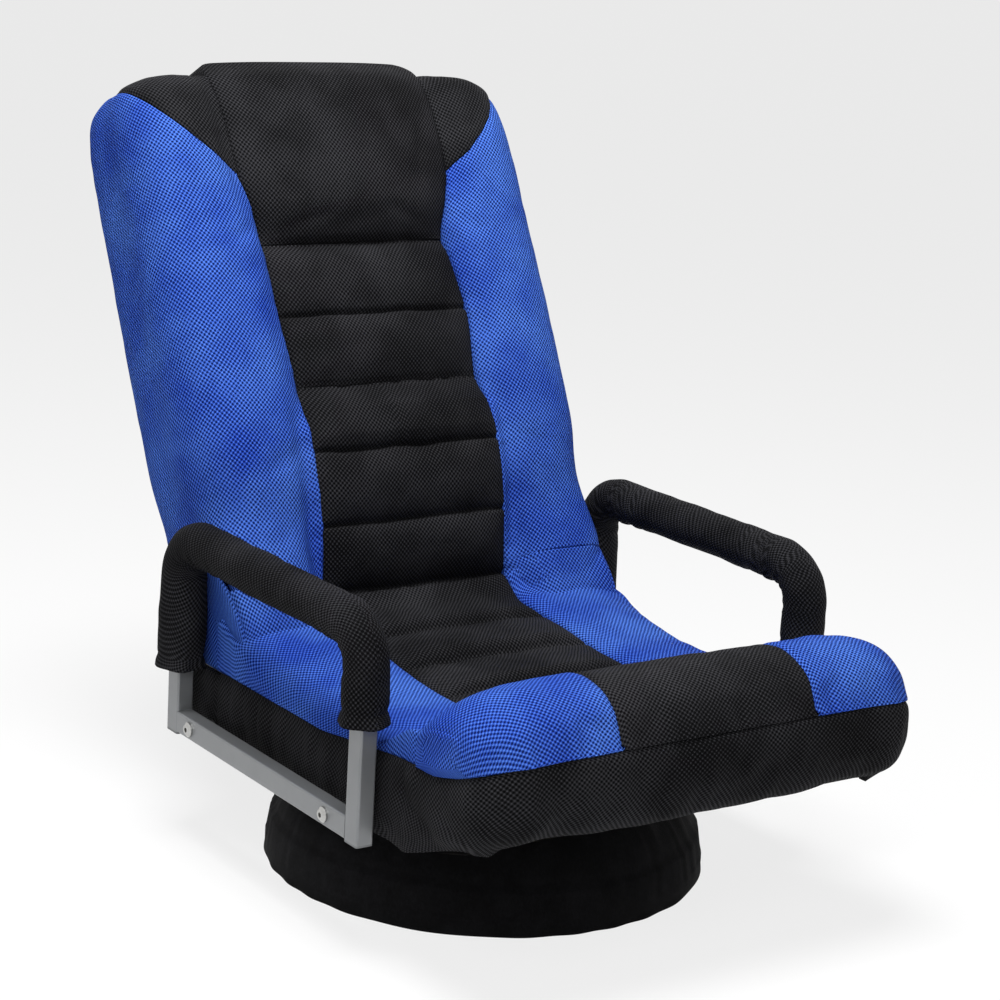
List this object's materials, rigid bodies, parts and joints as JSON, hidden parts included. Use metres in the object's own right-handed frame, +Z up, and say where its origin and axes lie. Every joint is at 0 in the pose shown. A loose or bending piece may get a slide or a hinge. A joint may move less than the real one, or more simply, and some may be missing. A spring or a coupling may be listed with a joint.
{
  "type": "swivel gaming floor chair",
  "caption": "Low floor chair with a channelled mesh seat and tall reclining back, padded tube arms and a round swivelling floor base.",
  "frame": {"origin": "on the floor under the swivel's axis, at the underside of the base's pads", "axes": "+Z up; the sitter faces -Y; +X is the sitter's left, on the right as seen from the front"},
  "size_m": [0.634, 0.9585, 0.8568],
  "materials": {
    "silver_paint": "satin silver-grey paint",
    "bare_steel": "plain rolled steel",
    "nickel": "nickel-plated",
    "black_mesh": "black air mesh over foam",
    "blue_mesh": "blue air mesh over foam",
    "black_cloth": "matte black non-woven cloth",
    "foam": "open-cell foam",
    "webbing": "woven black webbing",
    "black_rubber": "matte",
    "grey_plastic": "moulded grey plastic",
    "nylon": "natural nylon"
  },
  "bodies": {
    "base": {"floor_pads": "black_rubber", "base_ring": "bare_steel", "base_legs": "bare_steel", "hub_plate": "bare_steel", "base_cover": "black_cloth", "swivel_lower_plate": "bare_steel", "swivel_pin": "nickel", "swivel_lower_bolts": "nickel"},
    "ball_race": {"swivel_balls": "nickel", "ball_cage": "nylon"},
    "seat": {"swivel_upper_plate": "bare_steel", "swivel_upper_bolts": "nickel", "seat_frame": "bare_steel", "seat_straps": "webbing", "arm_spacers": "bare_steel", "arm_nuts": "nickel", "arm_frame_left": "silver_paint", "arm_frame_right": "silver_paint", "arm_sleeve_left": "black_mesh", "arm_sleeve_right": "black_mesh", "arm_end_caps": "grey_plastic", "arm_bolts_left": "nickel", "arm_bolts_right": "nickel", "seat_foam": "foam", "seat_channel_pad": "black_mesh", "seat_bolster_left": "blue_mesh", "seat_bolster_right": "blue_mesh", "front_roll_middle": "black_mesh", "front_roll_left": "blue_mesh", "front_roll_right": "blue_mesh", "seat_band": "black_mesh", "underside_cloth": "black_cloth", "hinge_seat_plates": "bare_steel", "hinge_pins": "nickel", "pawl_studs": "nickel", "pawl_springs": "bare_steel"},
    "back": {"hinge_back_plate_left": "bare_steel", "hinge_back_plate_right": "bare_steel", "back_frame": "bare_steel", "back_cross_bars": "bare_steel", "back_straps": "webbing", "back_front_foam": "foam", "back_rear_foam": "foam", "back_rear_cover": "black_cloth", "lumbar_pad": "black_mesh", "upper_back_pad": "black_mesh", "headrest": "black_mesh", "back_side_panels": "blue_mesh", "back_bolster_left": "blue_mesh", "back_bolster_right": "blue_mesh", "shoulder_left": "black_mesh", "shoulder_right": "black_mesh"},
    "pawl_left": {"pawl_left": "nickel"},
    "pawl_right": {"pawl_right": "nickel"}
  },
  "joints": [
    {"name": "seat_swivel", "type": "hinge", "parent": "base", "child": "seat", "pos_m": [0, 0, 0.12], "axis": [0, 0, 1], "continuous": true},
    {"name": "race_roll", "type": "hinge", "parent": "base", "child": "ball_race", "pos_m": [0, 0, 0.12], "axis": [0, 0, 1], "continuous": true},
    {"name": "back_recline", "type": "hinge", "parent": "seat", "child": "back", "pos_m": [0, 0.2095, 0.216], "axis": [-1, 0, 0], "range_deg": [0, 64]},
    {"name": "pawl_left_turn", "type": "hinge", "parent": "seat", "child": "pawl_left", "pos_m": [-0.243, 0.1714, 0.1941], "axis": [1, 0, 0], "range_deg": [0, 7]},
    {"name": "pawl_right_turn", "type": "hinge", "parent": "seat", "child": "pawl_right", "pos_m": [0.243, 0.1714, 0.1941], "axis": [1, 0, 0], "range_deg": [0, 7]}
  ],
  "couplings": [
    {"joint": "race_roll", "follows": "seat_swivel", "ratio": 0.5},
    {"joint": "pawl_right_turn", "follows": "pawl_left_turn", "ratio": 1}
  ]
}
